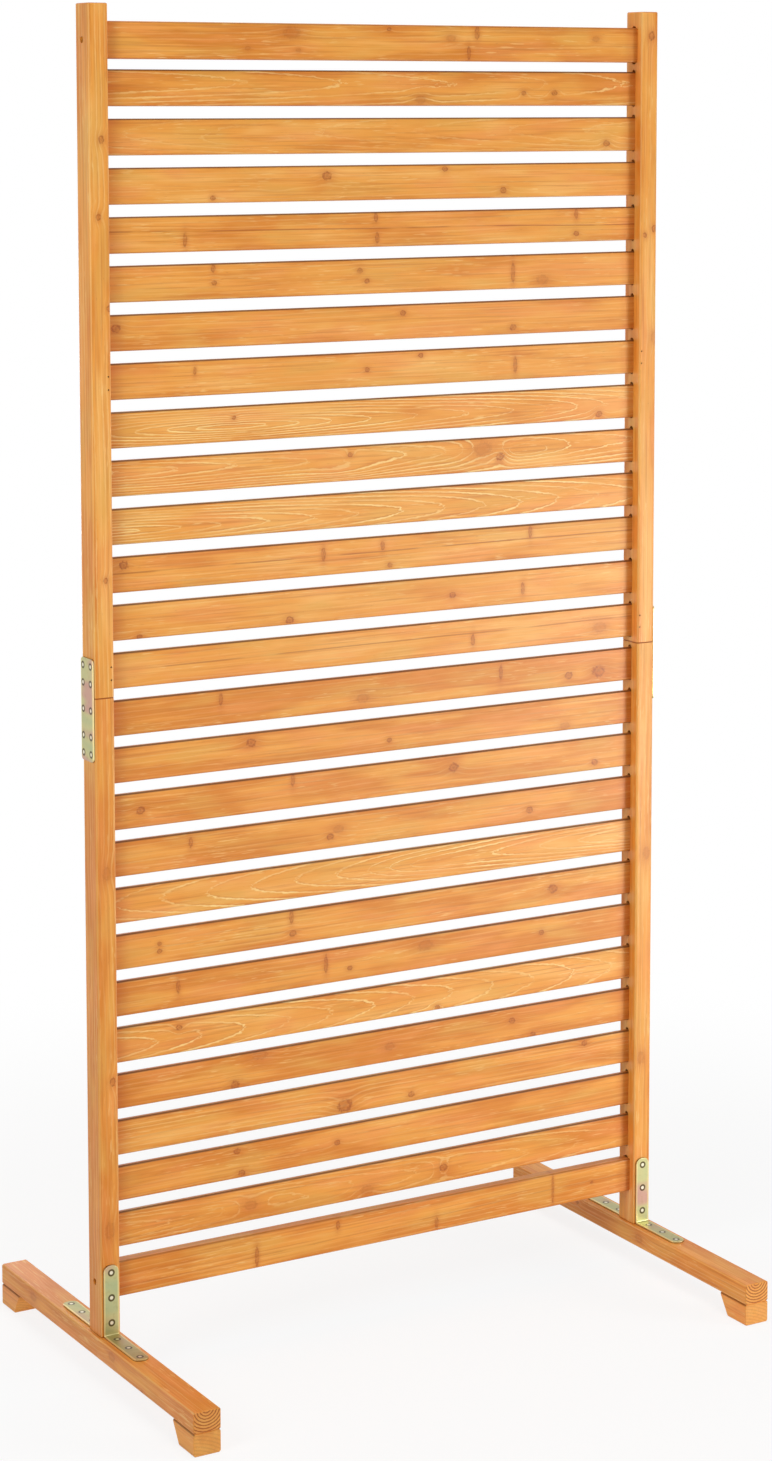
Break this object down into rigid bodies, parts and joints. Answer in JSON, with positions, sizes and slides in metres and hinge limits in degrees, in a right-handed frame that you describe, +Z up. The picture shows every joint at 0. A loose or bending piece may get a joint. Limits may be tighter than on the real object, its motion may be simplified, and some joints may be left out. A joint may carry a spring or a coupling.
{
  "type": "garden privacy screen",
  "caption": "Free-standing slatted timber garden screen: jointed posts with routed mortises, horizontal slats between rails, cross feet on pads, held by zinc-plated brackets.",
  "frame": {"origin": "on the floor, in the middle between the four foot pads", "axes": "+X along the screen to its right-hand post seen from the front, +Y from front to back, +Z up"},
  "size_m": [0.886, 0.594, 1.8],
  "materials": {
    "stained_softwood": "honey-stained planed softwood, satin",
    "yellow_zinc_plate": "yellow zinc plated sheet steel",
    "yellow_zinc_screw": "yellow zinc plated steel",
    "plain_steel": "dull steel, sunk in the wood"
  },
  "bodies": {
    "root": {"left_upper_post": "stained_softwood", "left_lower_post": "stained_softwood", "left_foot_bar": "stained_softwood", "left_front_pad": "stained_softwood", "left_rear_pad": "stained_softwood", "right_upper_post": "stained_softwood", "right_lower_post": "stained_softwood", "right_foot_bar": "stained_softwood", "right_front_pad": "stained_softwood", "right_rear_pad": "stained_softwood", "top_rail": "stained_softwood", "bottom_rail": "stained_softwood", "upper_slat_01": "stained_softwood", "upper_slat_02": "stained_softwood", "upper_slat_03": "stained_softwood", "upper_slat_04": "stained_softwood", "upper_slat_05": "stained_softwood", "upper_slat_06": "stained_softwood", "upper_slat_07": "stained_softwood", "upper_slat_08": "stained_softwood", "upper_slat_09": "stained_softwood", "upper_slat_10": "stained_softwood", "upper_slat_11": "stained_softwood", "upper_slat_12": "stained_softwood", "upper_slat_13": "stained_softwood", "lower_slat_01": "stained_softwood", "lower_slat_02": "stained_softwood", "lower_slat_03": "stained_softwood", "lower_slat_04": "stained_softwood", "lower_slat_05": "stained_softwood", "lower_slat_06": "stained_softwood", "lower_slat_07": "stained_softwood", "lower_slat_08": "stained_softwood", "lower_slat_09": "stained_softwood", "lower_slat_10": "stained_softwood", "lower_slat_11": "stained_softwood", "lower_slat_12": "stained_softwood", "left_mending_plate": "yellow_zinc_plate", "left_front_bracket": "yellow_zinc_plate", "left_rear_bracket": "yellow_zinc_plate", "right_mending_plate": "yellow_zinc_plate", "right_front_bracket": "yellow_zinc_plate", "right_rear_bracket": "yellow_zinc_plate", "left_plate_screws": "yellow_zinc_screw", "left_front_bracket_screws": "yellow_zinc_screw", "left_rear_bracket_screws": "yellow_zinc_screw", "right_plate_screws": "yellow_zinc_screw", "right_front_bracket_screws": "yellow_zinc_screw", "right_rear_bracket_screws": "yellow_zinc_screw", "left_pad_screws": "plain_steel", "right_pad_screws": "plain_steel", "top_rail_screws": "plain_steel", "bottom_rail_screws": "plain_steel", "upper_slat_brads": "plain_steel", "lower_slat_brads": "plain_steel"}
  },
  "joints": []
}
